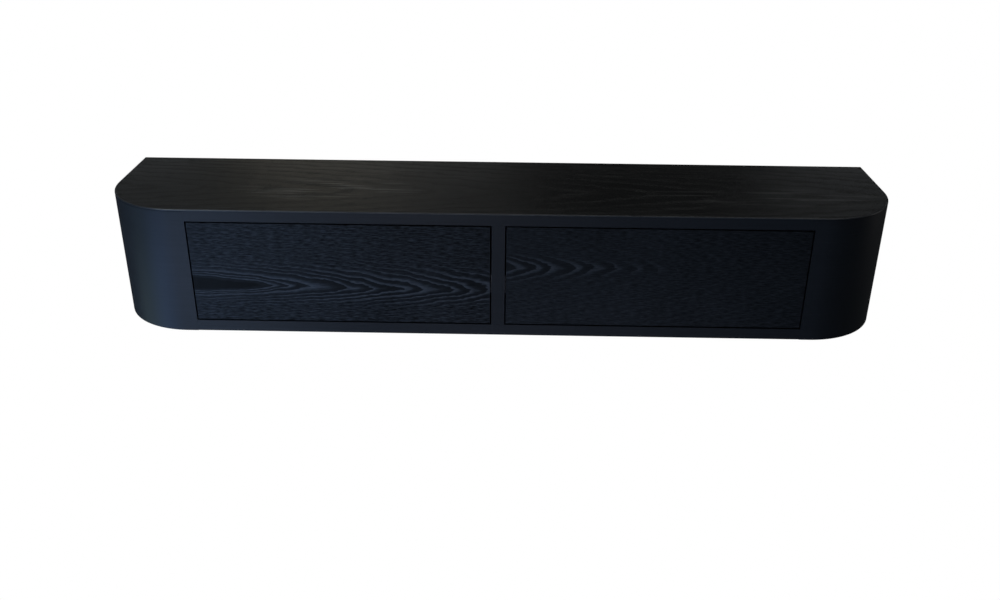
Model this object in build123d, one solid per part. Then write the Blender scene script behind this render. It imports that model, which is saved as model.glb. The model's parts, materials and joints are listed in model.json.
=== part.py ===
from build123d import *
import os

# A long, low wall cabinet with two push-to-open drawers side by side and no handles. Its plan is a
# rectangle whose two front corners are large quarter rounds. Bent-plywood shells form the ends,
# thick boards form the top and bottom, and everything hangs on a bevelled cleat.
# Millimetres. +X runs along the cabinet, +Y towards the wall, +Z up. The origin is the middle of
# the underside. Front faces look towards -Y.

# ---- Driving dimensions ----
WIDTH = 1800.0
DEPTH = 360.0
HEIGHT = 300.0
CORNER_RADIUS = 178.0  # of the front corners, in plan
SHELL = 15.0  # thickness of the bent end shells
TOP_SKIN = 4.0  # veneered sheet laid over the whole top
TOP_BOARD = 24.0
BOTTOM_BOARD = 27.0
DIVIDER = 30.0
RUNNER_PANEL = 18.0
OPENING_END = 697.0  # from the middle to the far side of each drawer opening
LIPPING = 3.0  # solid-wood strips on the front edges
GAP = 3.0  # around each drawer front
ARRIS = 2.5  # rounding of the top edge
SMALL_ARRIS = 1.5  # rounding of the lower edge

BACK_PANEL = 8.0
BACK_RECESS = 22.0  # room for the cleat behind the back panel
BACK_GROOVE = 5.0

DRAWER_FACE = 2.0  # thick-cut veneer on the drawer front
DRAWER_FRONT = 18.0
FACE_ARRIS = 1.0
BOX_WALL = 15.0
BOX_LENGTH = 300.0
BOX_LOW = 44.0
BOX_HIGH = 228.0
BOX_FINGERS = 8
BOX_FLOOR = 6.0
BOX_FLOOR_GROOVE = 6.0
BOX_FLOOR_LOW = 54.0

RAIL_SPACE = 12.7  # between the cabinet's side and the drawer box
RAIL_LENGTH = 300.0
RAIL_SET_BACK = 4.0  # behind the drawer front
RAIL_HEIGHT = 120.0  # of the rails' middle
RAIL_STEEL = 1.2
CAGE_LENGTH = 130.0
BALL_RADIUS = 1.95
BALLS_IN_ROW = 5
BALL_SPACING = 28.0

LATCH_OFFSET = 250.0  # of each push latch, from the middle of its drawer
LATCH_LENGTH = 70.0
LATCH_SIDE = 14.0
LATCH_AXIS = 263.5
LATCH_STAND_OFF = 6.5  # from the drawer front to the latch's housing
PLUNGER_RADIUS = 4.0
PLUNGER_CLEARANCE = 0.1
PAD_THICKNESS = 3.0

CLEAT_THICKNESS = 18.0
CLEAT_CONTACT = 200.0  # height of the lowest point of the hanging cleat
WALL_CLEAT_LOW = 140.0
WALL_CLEAT_HALF = 860.0
BATTEN_HEIGHT = 60.0
WALL_HOLE_RADIUS = 3.0
WALL_HOLE_SPACING = 400.0
WALL_HOLES = 4

DOWEL_RADIUS = 4.0
DOWEL_LENGTH = 30.0
DOWEL_PLACES = (-130.0, -15.0, 100.0)  # along the depth
BACK_SCREW_HEIGHTS = (105.0, 135.0, 165.0)
CLEAT_SCREW_HEIGHTS = (234.0, 256.0)
BATTEN_SCREW_HEIGHTS = (45.0, 72.0)
RAIL_SCREW_PLACES = (35.0, 150.0, 265.0)  # behind a rail's front end
FRONT_SCREW_OFFSETS = (-240.0, 240.0)  # from the middle of a drawer
FRONT_SCREW_HEIGHTS = (90.0, 190.0)
FLANGE = 3.0  # thickness of a latch housing's flange
FLANGE_HALF = 17.0
FLANGE_SCREW = 12.0
FLANGE_SPAN = (28.0, 60.0)  # behind the housing's front
PLUNGER_LENGTH = 47.0
SPRING_WIRE = 0.35
SPRING_TURNS = 8

# ---- Places worked out from them ----
HALF = WIDTH / 2
FRONT = -DEPTH / 2
BACK = DEPTH / 2
SKIN_LOW = HEIGHT - TOP_SKIN
OPENING_LOW = BOTTOM_BOARD
OPENING_HIGH = SKIN_LOW - TOP_BOARD
OPENING_START = DIVIDER / 2
OPENING_WIDTH = OPENING_END - OPENING_START
BAY_MIDDLE = (OPENING_START + OPENING_END) / 2
BACK_PANEL_REAR = BACK - BACK_RECESS
BACK_PANEL_FRONT = BACK_PANEL_REAR - BACK_PANEL
RUNNER_MIDDLE = OPENING_END + RUNNER_PANEL / 2
BOX_FRONT = FRONT + DRAWER_FACE + DRAWER_FRONT
BOX_BACK = BOX_FRONT + BOX_LENGTH
BOX_HALF = OPENING_WIDTH / 2 - RAIL_SPACE
RAIL_FRONT = BOX_FRONT + RAIL_SET_BACK
PAD_GAP = 0.1
PAD_FACE = BOX_FRONT + PAD_GAP
HOUSING_FRONT = PAD_FACE + LATCH_STAND_OFF
HOUSING_BACK = HOUSING_FRONT + LATCH_LENGTH
FLANGE_Y = [HOUSING_FRONT + place for place in FLANGE_SPAN]
BORE_LENGTH = LATCH_LENGTH - 4.0
PLUNGER_FRONT = PAD_FACE + PAD_THICKNESS
RAIL_SCREW_Y = [RAIL_FRONT + place for place in RAIL_SCREW_PLACES]

os.makedirs("parts", exist_ok=True)


def save(name, shape):
    """Writes one node's solids to its own file."""
    export_step(shape, f"parts/{name}.step")
    print(name, len(shape.solids()))


def board(x0, x1, y0, y1, z0, z1):
    """A straight board between two corners."""
    middle = Pos((x0 + x1) / 2, (y0 + y1) / 2, (z0 + z1) / 2)
    return middle * Box(abs(x1 - x0), abs(y1 - y0), abs(z1 - z0))


def group(solids):
    """Separate solids in one node."""
    return Compound(children=[piece for solid in solids for piece in solid.solids()])


def without(shape, tools):
    """A shape with each tool cut out of it."""
    for tool in tools:
        shape = shape - tool
    return shape


def rod(radius, start, length, direction):
    """A cylinder that begins at a point and runs along a direction."""
    standing = (Align.CENTER, Align.CENTER, Align.MIN)
    return Plane(origin=start, z_dir=direction) * Cylinder(radius, length, align=standing)


def turned(points, place, direction):
    """A solid of revolution from (radius, distance) points, its axis from place along direction."""
    half_section = Plane.XZ * make_face(Polyline(*points, close=True))
    return Plane(origin=place, z_dir=direction) * revolve(half_section, Axis.Z)


def screw(place, direction, length, head=3.4, sink=1.2, shank=1.8):
    """A countersunk wood screw whose head is flush at place, driven along direction."""
    cone = head - shank
    outline = [
        (0, 0),
        (head, 0),
        (head, sink),
        (shank, sink + cone),
        (shank, length - shank),
        (0, length),
    ]
    return turned(outline, place, direction)


def pan_screw(place, direction, length, head=4.0, rise=2.0, shank=1.8):
    """A pan-head wood screw that stands proud by rise at place."""
    outline = [
        (0, -rise),
        (head - 1, -rise),
        (head, -rise + 1),
        (head, 0),
        (shank, 0),
        (shank, length - shank),
        (0, length),
    ]
    return turned(outline, place, direction)


def plan(inset):
    """The cabinet's plan, drawn in by inset at the front and the ends."""
    depth = DEPTH - inset
    outline = Pos(0, BACK - depth / 2) * Rectangle(WIDTH - 2 * inset, depth)
    front_corners = outline.vertices().sort_by(Axis.Y)[:2]
    return fillet(front_corners, radius=CORNER_RADIUS - inset)


# ---- Fasteners of the cabinet ----
def upright_places():
    """The middles of the three uprights: the divider and the two runner panels."""
    return (-RUNNER_MIDDLE, 0.0, RUNNER_MIDDLE)


def make_dowels():
    low = OPENING_LOW - DOWEL_LENGTH / 2
    high = OPENING_HIGH - DOWEL_LENGTH / 2
    return [
        rod(DOWEL_RADIUS, (x, y, z), DOWEL_LENGTH, (0, 0, 1))
        for x in upright_places()
        for y in DOWEL_PLACES
        for z in (low, high)
    ]


def make_back_screws():
    """Three screws through the back panel into each upright."""
    return [
        screw((x, BACK_PANEL_REAR, z), (0, -1, 0), 30.0)
        for x in upright_places()
        for z in BACK_SCREW_HEIGHTS
    ]


def make_cleat_screws():
    """Long screws through the cleat and the batten into each upright."""
    cleat_face = BACK_PANEL_REAR + CLEAT_THICKNESS
    through_cleat = [
        screw((x, cleat_face, z), (0, -1, 0), 60.0, head=4.5, shank=2.5)
        for x in upright_places()
        for z in CLEAT_SCREW_HEIGHTS
    ]
    through_batten = [
        screw((x, BACK, z), (0, -1, 0), 60.0, head=4.5, shank=2.5)
        for x in upright_places()
        for z in BATTEN_SCREW_HEIGHTS
    ]
    return through_cleat + through_batten


def bay_walls(side):
    """(x of the wall, direction towards the drawer) of a bay's left and right side."""
    left = side * BAY_MIDDLE - OPENING_WIDTH / 2
    right = side * BAY_MIDDLE + OPENING_WIDTH / 2
    return ((left, 1), (right, -1))


def make_cabinet_rail_screws():
    """Screws that hold the cabinet rails, their heads flush inside the rail."""
    return [
        screw((wall + towards * RAIL_STEEL, y, RAIL_HEIGHT), (-towards, 0, 0), 13.0)
        for side in (-1, 1)
        for wall, towards in bay_walls(side)
        for y in RAIL_SCREW_Y
    ]


def latch_places(side):
    return [side * BAY_MIDDLE + offset for offset in (-LATCH_OFFSET, LATCH_OFFSET)]


def make_latch_screws(side):
    """Two screws up into the top board for each latch."""
    y = sum(FLANGE_Y) / 2
    low = OPENING_HIGH - FLANGE
    return [
        screw((x + offset, y, low), (0, 0, 1), 14.0, head=3.0, sink=0.4, shank=1.5)
        for x in latch_places(side)
        for offset in (-FLANGE_SCREW, FLANGE_SCREW)
    ]


# ---- Carcass ----
def make_top_skin():
    """The veneered sheet that covers the top, with its front and end edges eased."""
    skin = Pos(0, 0, SKIN_LOW) * extrude(plan(0), TOP_SKIN)
    edges = skin.edges().group_by(Axis.Z)[-1]
    eased = [edge for edge in edges if edge.center().Y < BACK - 1]
    return fillet(eased, ARRIS)


def make_level_board(low, thickness, tools):
    """The top or bottom board: it fits inside the shells and comes forward between them."""
    inner = Pos(0, 0, low) * extrude(plan(SHELL), thickness)
    nose = board(-OPENING_END, OPENING_END, FRONT + LIPPING, FRONT + SHELL, low, low + thickness)
    return without(inner + nose, tools)


def make_back_panel():
    """Plywood that sits in grooves in the two level boards and the shells."""
    half = HALF - SHELL + BACK_GROOVE
    low = OPENING_LOW - BACK_GROOVE
    high = OPENING_HIGH + BACK_GROOVE
    return board(-half, half, BACK_PANEL_FRONT, BACK_PANEL_REAR, low, high)


def make_end_shell(side, tools):
    """The bent-plywood end: straight at the back, a quarter round, and a short flat in front."""
    ring = extrude(plan(0) - plan(SHELL), SKIN_LOW)
    reach = side * OPENING_END, side * (HALF + 1)
    shell = ring & board(*reach, FRONT - 1, BACK + 1, -1, HEIGHT)
    bottom = shell.edges().group_by(Axis.Z)[0]
    shell_middle = HALF - SHELL / 2
    outer = [
        edge
        for edge in bottom
        if edge.center().Y < FRONT + 1
        or (abs(edge.center().X) > shell_middle and edge.center().Y < BACK - 1)
        or edge.geom_type == GeomType.CIRCLE
        and edge.radius > CORNER_RADIUS - 1
    ]
    return without(fillet(outer, SMALL_ARRIS), tools)


def make_lipping(x0, x1, z0, z1):
    return board(x0, x1, FRONT, FRONT + LIPPING, z0, z1)


def make_bottom_lipping():
    strip = make_lipping(-OPENING_END, OPENING_END, 0, BOTTOM_BOARD)
    lower_front = strip.edges().group_by(Axis.Z)[0].group_by(Axis.Y)[0]
    return fillet(lower_front, SMALL_ARRIS)


def make_divider(tools):
    body = board(
        -DIVIDER / 2, DIVIDER / 2, FRONT + LIPPING, BACK_PANEL_FRONT, OPENING_LOW, OPENING_HIGH
    )
    return without(body, tools)


def make_runner_panel(side, tools):
    ends = side * OPENING_END, side * (OPENING_END + RUNNER_PANEL)
    body = board(*ends, FRONT + SHELL, BACK_PANEL_FRONT, OPENING_LOW, OPENING_HIGH)
    return without(body, tools)


def make_cleat_section(points, half):
    """A cleat: its outline in (y, z), drawn out along the cabinet."""
    face = Plane.YZ * make_face(Polyline(*points, close=True))
    return extrude(face, half, both=True)


def make_hanging_cleat(tools):
    """The cabinet's half of the cleat, with its lower edge cut at 45 degrees."""
    near = BACK_PANEL_REAR
    far = near + CLEAT_THICKNESS
    outline = [
        (near, OPENING_HIGH),
        (far, OPENING_HIGH),
        (far, CLEAT_CONTACT),
        (near, CLEAT_CONTACT + CLEAT_THICKNESS),
    ]
    return without(make_cleat_section(outline, HALF - SHELL), tools)


def wall_cleat_middle():
    top_at_wall = CLEAT_CONTACT - (BACK_RECESS - CLEAT_THICKNESS)
    return (WALL_CLEAT_LOW + top_at_wall) / 2


def make_wall_cleat():
    """The wall's half, with its upper edge cut to match and countersunk holes for wall screws."""
    step = BACK_RECESS - CLEAT_THICKNESS
    near = BACK - CLEAT_THICKNESS
    outline = [
        (near, WALL_CLEAT_LOW),
        (BACK, WALL_CLEAT_LOW),
        (BACK, CLEAT_CONTACT - step),
        (near, CLEAT_CONTACT - step + CLEAT_THICKNESS),
    ]
    cleat = make_cleat_section(outline, WALL_CLEAT_HALF)
    first = -WALL_HOLE_SPACING * (WALL_HOLES - 1) / 2
    sink = WALL_HOLE_RADIUS
    hole = [
        (0, 0),
        (WALL_HOLE_RADIUS + sink, 0),
        (WALL_HOLE_RADIUS, sink),
        (WALL_HOLE_RADIUS, CLEAT_THICKNESS),
        (0, CLEAT_THICKNESS),
    ]
    holes = [
        turned(hole, (first + i * WALL_HOLE_SPACING, near, wall_cleat_middle()), (0, 1, 0))
        for i in range(WALL_HOLES)
    ]
    return without(cleat, holes)


def make_lower_batten(tools):
    half = HALF - SHELL
    high = OPENING_LOW + BATTEN_HEIGHT
    return without(board(-half, half, BACK_PANEL_REAR, BACK, OPENING_LOW, high), tools)


# ---- Telescopic rails ----
# Rail sections are in (distance from the cabinet's side, height from the rail's middle).
CABINET_RAIL = [(9.8, 19.6), (9.8, 21.9), (0.6, 21.9), (0.6, -21.9), (9.8, -21.9), (9.8, -19.6)]
MIDDLE_RAIL = [(10.0, 16.7), (3.0, 16.7), (3.0, -16.7), (10.0, -16.7)]
DRAWER_RAIL = [(5.4, 11.5), (12.1, 11.5), (12.1, -11.5), (5.4, -11.5)]
OUTER_CAGE = [(8.8, 19.3), (1.8, 19.3), (1.8, -19.3), (8.8, -19.3)]
INNER_CAGE = [(10.4, 14.1), (4.4, 14.1), (4.4, -14.1), (10.4, -14.1)]
OUTER_BALL_LINE = 6.0
INNER_BALL_LINE = 7.6
CAGE_STEEL = 0.8
RAIL_BEND = 1.0


def pressed(section, steel, length, start):
    """A strip of steel bent to a section and drawn out along +Y from start."""
    line = FilletPolyline(*section, radius=RAIL_BEND)
    flat = trace(line, line_width=steel)
    return Pos(0, start, 0) * extrude(Plane.XZ * flat, -length)


def at_wall(shape, wall, towards):
    """Puts a rail made at x = 0 against a wall, facing the way that towards says."""
    facing = shape if towards > 0 else mirror(shape, Plane.YZ)
    return Pos(wall, 0, RAIL_HEIGHT) * facing


def make_rail(section, wall, towards, tools=()):
    rail = pressed(section, RAIL_STEEL, RAIL_LENGTH, RAIL_FRONT)
    return without(at_wall(rail, wall, towards), tools)


def make_ball_cage(section, ball_line, wall, towards):
    """A bent cage with a row of balls in its upper and in its lower leg."""
    start = RAIL_FRONT + (RAIL_LENGTH - CAGE_LENGTH) / 2
    middle = start + CAGE_LENGTH / 2
    first = middle - BALL_SPACING * (BALLS_IN_ROW - 1) / 2
    cage = pressed(section, CAGE_STEEL, CAGE_LENGTH, start)
    row_height = section[0][1]
    balls = []
    for height in (-row_height, row_height):
        for i in range(BALLS_IN_ROW):
            place = Pos(ball_line, first + i * BALL_SPACING, height)
            cage = cage - place * Cylinder(BALL_RADIUS + 0.2, 4 * CAGE_STEEL)
            balls.append(place * Sphere(BALL_RADIUS))
    return [at_wall(piece, wall, towards) for piece in (cage, *balls)]


# ---- Push latches ----
def make_latch_housing(x, tools):
    """A square plastic body with a blind bore for the plunger and a flange with two screws."""
    half = LATCH_SIDE / 2
    body = board(
        x - half, x + half, HOUSING_FRONT, HOUSING_BACK, LATCH_AXIS - half, OPENING_HIGH
    )
    flange = board(
        x - FLANGE_HALF, x + FLANGE_HALF, *FLANGE_Y, OPENING_HIGH - FLANGE, OPENING_HIGH
    )
    bore = rod(
        PLUNGER_RADIUS + PLUNGER_CLEARANCE,
        (x, HOUSING_FRONT, LATCH_AXIS),
        BORE_LENGTH,
        (0, 1, 0),
    )
    return without(body + flange, [bore, *tools])


def make_latch_plunger(x):
    return rod(PLUNGER_RADIUS, (x, PLUNGER_FRONT, LATCH_AXIS), PLUNGER_LENGTH, (0, 1, 0))


def make_latch_pad(x):
    """The soft disc on the plunger's end, against the drawer front."""
    pad = rod(PLUNGER_RADIUS + 0.5, (x, PAD_FACE, LATCH_AXIS), PAD_THICKNESS, (0, 1, 0))
    return fillet(pad.edges().group_by(Axis.Y)[0], 0.6)


def make_latch_spring(x):
    """A coil spring between the plunger and the end of the bore."""
    start = PLUNGER_FRONT + PLUNGER_LENGTH + 2 * SPRING_WIRE
    end = HOUSING_FRONT + BORE_LENGTH - 2 * SPRING_WIRE
    coil = Helix((end - start) / SPRING_TURNS, end - start, PLUNGER_RADIUS - 0.9)
    section = Plane(origin=coil @ 0, z_dir=coil % 0) * Circle(SPRING_WIRE)
    return Plane(origin=(x, start, LATCH_AXIS), z_dir=(0, 1, 0)) * sweep(section, coil)


# ---- Drawers ----
def make_drawer_face(middle):
    """The veneer leaf on the drawer front, its edges eased."""
    half = OPENING_WIDTH / 2 - GAP
    low, high = OPENING_LOW + GAP, OPENING_HIGH - GAP
    leaf = board(middle - half, middle + half, FRONT, FRONT + DRAWER_FACE, low, high)
    return fillet(leaf.faces().sort_by(Axis.Y)[0].edges(), FACE_ARRIS)


def make_drawer_front(middle, tools):
    half = OPENING_WIDTH / 2 - GAP
    low, high = OPENING_LOW + GAP, OPENING_HIGH - GAP
    core = board(middle - half, middle + half, FRONT + DRAWER_FACE, BOX_FRONT, low, high)
    return without(core, tools)


def finger_cuts(middle, kept):
    """The notches at the four corners of a drawer box. kept is 0 or 1: which fingers are cut."""
    pitch = (BOX_HIGH - BOX_LOW) / BOX_FINGERS
    cuts = []
    for i in range(kept, BOX_FINGERS, 2):
        low = BOX_LOW + i * pitch
        for side in (-1, 1):
            outer = middle + side * BOX_HALF
            inner = outer - side * BOX_WALL
            for y in (BOX_FRONT, BOX_BACK - BOX_WALL):
                cuts.append(board(outer, inner, y, y + BOX_WALL, low, low + pitch))
    return cuts


def box_floor_space(middle):
    """The floor panel with the part of it that lies in the walls' grooves."""
    half = BOX_HALF - BOX_WALL + BOX_FLOOR_GROOVE
    inset = BOX_WALL - BOX_FLOOR_GROOVE
    return board(
        middle - half,
        middle + half,
        BOX_FRONT + inset,
        BOX_BACK - inset,
        BOX_FLOOR_LOW,
        BOX_FLOOR_LOW + BOX_FLOOR,
    )


def make_box_side(middle, side, tools):
    outer = middle + side * BOX_HALF
    wall = board(outer, outer - side * BOX_WALL, BOX_FRONT, BOX_BACK, BOX_LOW, BOX_HIGH)
    return without(wall, [*finger_cuts(middle, 1), box_floor_space(middle), *tools])


def make_box_end(middle, y, tools=()):
    wall = board(middle - BOX_HALF, middle + BOX_HALF, y, y + BOX_WALL, BOX_LOW, BOX_HIGH)
    return without(wall, [*finger_cuts(middle, 0), box_floor_space(middle), *tools])


def make_front_screws(middle):
    """Four pan-head screws from inside the box into the drawer front."""
    return [
        pan_screw((middle + dx, BOX_FRONT + BOX_WALL, z), (0, -1, 0), 28.0)
        for dx in FRONT_SCREW_OFFSETS
        for z in FRONT_SCREW_HEIGHTS
    ]


def make_drawer_rail_screws(side):
    """Screws through the drawer rails into the box's sides."""
    return [
        screw(
            (wall + towards * (RAIL_SPACE - RAIL_STEEL), y, RAIL_HEIGHT),
            (towards, 0, 0),
            12.0,
        )
        for wall, towards in bay_walls(side)
        for y in RAIL_SCREW_Y
    ]


# ---- Make and save every node ----
def save_cabinet():
    dowels = make_dowels()
    back_screws = make_back_screws()
    cleat_screws = make_cleat_screws()
    rail_screws = make_cabinet_rail_screws()
    latch_screws = make_latch_screws(-1) + make_latch_screws(1)
    back_panel = make_back_panel()

    save("top_skin", make_top_skin())
    top_tools = [back_panel, *dowels, *latch_screws]
    save("top_board", make_level_board(OPENING_HIGH, TOP_BOARD, top_tools))
    save("bottom_board", make_level_board(0, BOTTOM_BOARD, [back_panel, *dowels]))
    save("left_end_shell", make_end_shell(-1, [back_panel]))
    save("right_end_shell", make_end_shell(1, [back_panel]))
    save("top_lipping", make_lipping(-OPENING_END, OPENING_END, OPENING_HIGH, SKIN_LOW))
    save("bottom_lipping", make_bottom_lipping())
    half = DIVIDER / 2
    save("centre_lipping", make_lipping(-half, half, OPENING_LOW, OPENING_HIGH))

    upright_tools = [*dowels, *back_screws, *cleat_screws, *rail_screws]
    save("centre_divider", make_divider(upright_tools))
    save("left_runner_panel", make_runner_panel(-1, upright_tools))
    save("right_runner_panel", make_runner_panel(1, upright_tools))
    save("back_panel", without(back_panel, [*back_screws, *cleat_screws]))
    save("hanging_cleat", make_hanging_cleat(cleat_screws))
    save("wall_cleat", make_wall_cleat())
    save("lower_batten", make_lower_batten(cleat_screws))
    save("dowels", group(dowels))
    save("back_screws", group(back_screws + cleat_screws))
    save("rail_screws", group(rail_screws))
    save("latch_screws", group(latch_screws))


def save_drawer(name, side):
    middle = side * BAY_MIDDLE
    front_screws = make_front_screws(middle)
    rail_screws = make_drawer_rail_screws(side)
    save(f"{name}_drawer_face", make_drawer_face(middle))
    save(f"{name}_drawer_front", make_drawer_front(middle, front_screws))
    save(f"{name}_drawer_box_front", make_box_end(middle, BOX_FRONT, front_screws))
    save(f"{name}_drawer_box_back", make_box_end(middle, BOX_BACK - BOX_WALL))
    save(f"{name}_drawer_left_side", make_box_side(middle, -1, rail_screws))
    save(f"{name}_drawer_right_side", make_box_side(middle, 1, rail_screws))
    save(f"{name}_drawer_bottom", box_floor_space(middle))
    save(f"{name}_drawer_screws", group(front_screws + rail_screws))


def save_rails(name, side):
    cabinet_screws = make_cabinet_rail_screws()
    drawer_screws = make_drawer_rail_screws(side)
    outer_cages = []
    inner_cages = []
    for place, (wall, towards) in zip(("left", "right"), bay_walls(side)):
        cabinet_rail = make_rail(CABINET_RAIL, wall, towards, cabinet_screws)
        save(f"{name}_bay_{place}_cabinet_rail", cabinet_rail)
        save(f"{name}_bay_{place}_middle_rail", make_rail(MIDDLE_RAIL, wall, towards))
        drawer_rail = make_rail(DRAWER_RAIL, wall, towards, drawer_screws)
        save(f"{name}_drawer_{place}_rail", drawer_rail)
        outer_cages += make_ball_cage(OUTER_CAGE, OUTER_BALL_LINE, wall, towards)
        inner_cages += make_ball_cage(INNER_CAGE, INNER_BALL_LINE, wall, towards)
    save(f"{name}_outer_ball_cages", group(outer_cages))
    save(f"{name}_inner_ball_cages", group(inner_cages))


def save_latches(name, side):
    places = latch_places(side)
    screws = make_latch_screws(side)
    save(f"{name}_latch_housings", group([make_latch_housing(x, screws) for x in places]))
    save(f"{name}_latch_plungers", group([make_latch_plunger(x) for x in places]))
    save(f"{name}_latch_pads", group([make_latch_pad(x) for x in places]))
    save(f"{name}_latch_springs", group([make_latch_spring(x) for x in places]))


save_cabinet()
for name, side in (("left", -1), ("right", 1)):
    save_drawer(name, side)
    save_rails(name, side)
    save_latches(name, side)
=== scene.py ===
# %% [markdown]
# # A wall cabinet in black oak
#
# The cabinet is long, low and handleless. Two wide drawers sit flush in a smooth black frame whose
# front corners are large quarter rounds. This lesson gives those pieces soft edges, turned screws
# and real finishes, and never moves them.

# %% Load the model
import json
import math

import bmesh
import bpy
from mathutils import Matrix, Vector


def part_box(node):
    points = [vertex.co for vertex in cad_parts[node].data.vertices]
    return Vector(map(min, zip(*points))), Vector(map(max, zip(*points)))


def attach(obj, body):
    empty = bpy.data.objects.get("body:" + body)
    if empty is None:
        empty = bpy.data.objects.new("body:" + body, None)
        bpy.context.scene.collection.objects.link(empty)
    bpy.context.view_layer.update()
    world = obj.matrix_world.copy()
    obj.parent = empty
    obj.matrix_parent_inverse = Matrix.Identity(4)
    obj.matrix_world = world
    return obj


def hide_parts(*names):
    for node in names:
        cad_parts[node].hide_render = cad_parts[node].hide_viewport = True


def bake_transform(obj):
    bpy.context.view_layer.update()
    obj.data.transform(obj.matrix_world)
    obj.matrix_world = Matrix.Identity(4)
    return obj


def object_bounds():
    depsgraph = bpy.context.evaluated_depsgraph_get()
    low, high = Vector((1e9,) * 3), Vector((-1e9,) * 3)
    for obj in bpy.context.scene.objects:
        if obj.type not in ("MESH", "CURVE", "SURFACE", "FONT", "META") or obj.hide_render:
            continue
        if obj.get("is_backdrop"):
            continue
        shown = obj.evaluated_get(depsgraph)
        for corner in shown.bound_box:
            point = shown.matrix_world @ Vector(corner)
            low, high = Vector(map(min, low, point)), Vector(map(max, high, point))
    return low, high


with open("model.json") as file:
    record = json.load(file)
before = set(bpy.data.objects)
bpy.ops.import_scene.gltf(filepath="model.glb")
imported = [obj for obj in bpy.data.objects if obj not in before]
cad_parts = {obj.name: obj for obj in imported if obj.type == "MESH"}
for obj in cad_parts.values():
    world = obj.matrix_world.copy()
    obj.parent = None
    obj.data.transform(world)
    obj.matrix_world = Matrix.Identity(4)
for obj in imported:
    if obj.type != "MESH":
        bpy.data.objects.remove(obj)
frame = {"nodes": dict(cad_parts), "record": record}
cad_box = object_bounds()
print("nodes:", len(frame["nodes"]))

# %% [markdown]
# ## Sizes read from the model
#
# Everything made here takes its size from the boards themselves. If a board changes, the pieces
# follow. The corner radius isn't stored, so it is found from where the flat front begins to curve.

# %% Read the main sizes
MM = 0.001
low_corner, high_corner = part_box("top_skin")
HALF_WIDTH = high_corner.x
FRONT = low_corner.y
BACK = high_corner.y
TOP = high_corner.z
SKIN_LOW = low_corner.z
OPENING_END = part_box("top_lipping")[1].x
SHELL = HALF_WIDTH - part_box("top_board")[1].x
flat_front = [v.co.x for v in frame["nodes"]["top_skin"].data.vertices if v.co.y < FRONT + 0.01 * MM]
CORNER = HALF_WIDTH - max(flat_front)
print(f"cabinet {2 * HALF_WIDTH:.3f} x {BACK - FRONT:.3f} x {TOP:.3f} m, corner radius {CORNER:.3f} m")

# %% [markdown]
# ## The camera
#
# It stands where a person would, a little right of the middle, and looks down at the front. Its
# heading, tilt and roll are three plain angles, which are easier to read than a matrix.

# %% Set up the camera
CAMERA_PLACE = Vector((0.035, -2.244, 1.103))
CAMERA_HEADING = 0.835
CAMERA_TILT = 26.13
CAMERA_ROLL = 0.52
CAMERA_LENS = 36.24


def make_camera():
    """A camera that looks along +Y, turned, tilted down and rolled by the three angles."""
    data = bpy.data.cameras.new("camera")
    data.lens = CAMERA_LENS
    data.sensor_width = 36.0
    camera = bpy.data.objects.new("camera", data)
    bpy.context.scene.collection.objects.link(camera)
    turn = Matrix.Rotation(math.radians(CAMERA_HEADING), 4, "Z")
    tilt = Matrix.Rotation(math.radians(90 - CAMERA_TILT), 4, "X")
    roll = Matrix.Rotation(math.radians(CAMERA_ROLL), 4, "Z")
    camera.matrix_world = Matrix.Translation(CAMERA_PLACE) @ turn @ tilt @ roll
    bpy.context.scene.camera = camera
    return camera


camera = make_camera()
print("camera at", [round(value, 3) for value in camera.location])

# %% [markdown]
# ## Nodes as formulas
#
# Materials and Geometry Nodes trees are both graphs of nodes. Wiring them by hand takes many lines,
# so two small classes do it. A `Link` wraps one output socket, and adding or multiplying it writes
# the Math node. A `Graph` has one method, `node`, for every other kind of node.


# %% Two small classes
class Link:
    """One output of a node. Sums and products with it add Math nodes to its graph."""

    def __init__(self, graph, node, socket):
        self.graph = graph
        self.node = node
        self.socket = socket

    def out(self, name):
        """Another output of the same node."""
        return Link(self.graph, self.node, self.node.outputs[name])

    def __add__(self, other):
        return self.graph.math("ADD", self, other)

    def __radd__(self, other):
        return self.graph.math("ADD", other, self)

    def __sub__(self, other):
        return self.graph.math("SUBTRACT", self, other)

    def __rsub__(self, other):
        return self.graph.math("SUBTRACT", other, self)

    def __mul__(self, other):
        return self.graph.math("MULTIPLY", self, other)

    def __rmul__(self, other):
        return self.graph.math("MULTIPLY", other, self)

    def __truediv__(self, other):
        return self.graph.math("DIVIDE", self, other)

    def __rtruediv__(self, other):
        return self.graph.math("DIVIDE", other, self)


class Graph:
    """A node tree that is written as a list of steps."""

    def __init__(self, tree):
        self.tree = tree

    def node(self, kind, settings=None, inputs=()):
        """Adds a node, sets it up, then fills its sockets with values or links."""
        node = self.tree.nodes.new(kind)
        for name, value in (settings or {}).items():
            if name == "stops":
                set_stops(node.color_ramp, value)
            else:
                setattr(node, name, value)
        pairs = inputs.items() if isinstance(inputs, dict) else enumerate(inputs)
        for name, value in pairs:
            socket = find_socket(node, name)
            if isinstance(value, Link):
                self.tree.links.new(value.socket, socket)
            else:
                socket.default_value = value
        shown = [socket for socket in node.outputs if socket.enabled]
        return Link(self, node, shown[0] if shown else None)

    def math(self, operation, *terms):
        return self.node("ShaderNodeMath", {"operation": operation}, terms)


def set_stops(ramp, stops):
    """Colour stops as (place, grey or colour) pairs."""
    while len(ramp.elements) < len(stops):
        ramp.elements.new(1.0)
    for element, (place, colour) in zip(ramp.elements, stops):
        element.position = place
        element.color = (*colour, 1) if isinstance(colour, tuple) else (colour, colour, colour, 1)


def find_socket(node, name):
    """A socket by its number, its identifier or its name."""
    if isinstance(name, int):
        return node.inputs[name]
    for socket in node.inputs:
        if socket.identifier == name:
            return socket
    return node.inputs[name]


print("formulas ready")

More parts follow.
